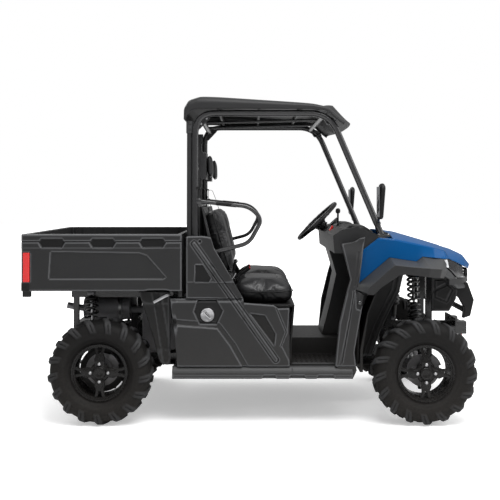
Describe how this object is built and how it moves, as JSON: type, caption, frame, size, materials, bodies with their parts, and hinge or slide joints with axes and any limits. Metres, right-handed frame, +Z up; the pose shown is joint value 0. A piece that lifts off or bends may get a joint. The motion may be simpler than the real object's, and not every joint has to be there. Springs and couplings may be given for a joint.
{
  "type": "side by side utility vehicle",
  "caption": "Two-seat open utility vehicle with a tipping bed, drop tailgate, rack steering, roll cage with roof and knobbly tyres.",
  "frame": {"origin": "on the ground under the middle of the vehicle", "axes": "+X forward, +Y to the vehicle's left, +Z up"},
  "size_m": [2.78, 1.63, 1.9479],
  "materials": {
    "blue_panel": "moulded-in deep blue, glossy",
    "charcoal_panel": "moulded charcoal plastic with a fine grain",
    "black_plastic": "moulded black plastic",
    "frame_black": "satin black powder coat",
    "tyre_rubber": "black rubber",
    "rim_black": "satin black paint on cast alloy",
    "seat_vinyl": "grained charcoal vinyl",
    "bare_metal": "bare machined steel",
    "cast_metal": "cast alloy, dull",
    "lamp_red": "red lens",
    "lamp_smoke": "smoked lens over a pale lamp"
  },
  "bodies": {
    "root": {"bed_frame": "frame_black", "bumper_guard": "charcoal_panel", "console": "black_plastic", "dashboard": "black_plastic", "door_mirrors": "black_plastic", "drive_shafts": "bare_metal", "engine_block": "cast_metal", "exhaust": "bare_metal", "fenders": "blue_panel", "floor_tub": "black_plastic", "front_arms": "frame_black", "front_differential": "cast_metal", "front_fascia": "black_plastic", "front_flares": "charcoal_panel", "front_frame": "frame_black", "front_liners": "black_plastic", "front_posts": "charcoal_panel", "front_shocks": "frame_black", "fuel_cap": "bare_metal", "gear_lever": "black_plastic", "headlamps": "lamp_smoke", "headrests": "seat_vinyl", "hip_bars": "frame_black", "hitch": "frame_black", "hood": "blue_panel", "main_frame": "frame_black", "quarter_panels": "charcoal_panel", "rack_housing": "cast_metal", "rear_arms": "frame_black", "rear_carriers": "bare_metal", "rear_differential": "cast_metal", "rear_frame": "frame_black", "rear_shocks": "frame_black", "rockers": "charcoal_panel", "roll_cage": "frame_black", "roof_panel": "charcoal_panel", "seat_backs": "seat_vinyl", "seat_base": "black_plastic", "seat_cushions": "seat_vinyl", "seat_frames": "frame_black", "side_panels": "charcoal_panel", "skid_plate": "frame_black", "steering_column": "frame_black", "winch": "frame_black"},
    "bed": {"bed": "charcoal_panel", "tail_lamps": "lamp_red"},
    "tailgate": {"tailgate": "charcoal_panel"},
    "steering_wheel": {"steering_wheel": "black_plastic"},
    "rack": {"steering_rack": "bare_metal"},
    "knuckle_right": {"knuckle_right": "bare_metal"},
    "knuckle_left": {"knuckle_left": "bare_metal"},
    "wheel_front_right": {"tyre_front_right": "tyre_rubber", "rim_front_right": "rim_black"},
    "wheel_front_left": {"tyre_front_left": "tyre_rubber", "rim_front_left": "rim_black"},
    "wheel_rear_right": {"tyre_rear_right": "tyre_rubber", "rim_rear_right": "rim_black"},
    "wheel_rear_left": {"tyre_rear_left": "tyre_rubber", "rim_rear_left": "rim_black"}
  },
  "joints": [
    {"name": "bed_tilt", "type": "hinge", "parent": "root", "child": "bed", "pos_m": [-1.15, 0, 0.764], "axis": [0, -1, 0], "range_deg": [0, 40]},
    {"name": "tailgate_drop", "type": "hinge", "parent": "bed", "child": "tailgate", "pos_m": [-1.373, 0, 0.8], "axis": [0, -1, 0], "range_deg": [0, 90]},
    {"name": "steer_left", "type": "hinge", "parent": "root", "child": "knuckle_left", "pos_m": [0.975, 0.567, 0.31], "axis": [0, 0, 1], "range_deg": [-28, 28]},
    {"name": "steer_right", "type": "hinge", "parent": "root", "child": "knuckle_right", "pos_m": [0.975, -0.567, 0.31], "axis": [0, 0, 1], "range_deg": [-28, 28]},
    {"name": "rack_slide", "type": "slide", "parent": "root", "child": "rack", "axis": [0, 1, 0], "range_m": [-0.038, 0.038]},
    {"name": "steering_wheel_turn", "type": "hinge", "parent": "root", "child": "steering_wheel", "pos_m": [0.419, 0.33, 1.171], "axis": [-0.6947, 0, 0.7193], "range_deg": [-225, 225]},
    {"name": "wheel_front_right_spin", "type": "hinge", "parent": "knuckle_right", "child": "wheel_front_right", "pos_m": [0.975, -0.6425, 0.31], "axis": [0, 1, 0], "continuous": true},
    {"name": "wheel_rear_right_spin", "type": "hinge", "parent": "root", "child": "wheel_rear_right", "pos_m": [-0.93, -0.6175, 0.31], "axis": [0, 1, 0], "continuous": true},
    {"name": "wheel_front_left_spin", "type": "hinge", "parent": "knuckle_left", "child": "wheel_front_left", "pos_m": [0.975, 0.6425, 0.31], "axis": [0, 1, 0], "continuous": true},
    {"name": "wheel_rear_left_spin", "type": "hinge", "parent": "root", "child": "wheel_rear_left", "pos_m": [-0.93, 0.6175, 0.31], "axis": [0, 1, 0], "continuous": true}
  ],
  "couplings": [
    {"joint": "steer_right", "follows": "steer_left", "ratio": 1},
    {"joint": "rack_slide", "follows": "steer_left", "m_per_rad": -0.0769},
    {"joint": "steering_wheel_turn", "follows": "steer_left", "ratio": 8}
  ]
}
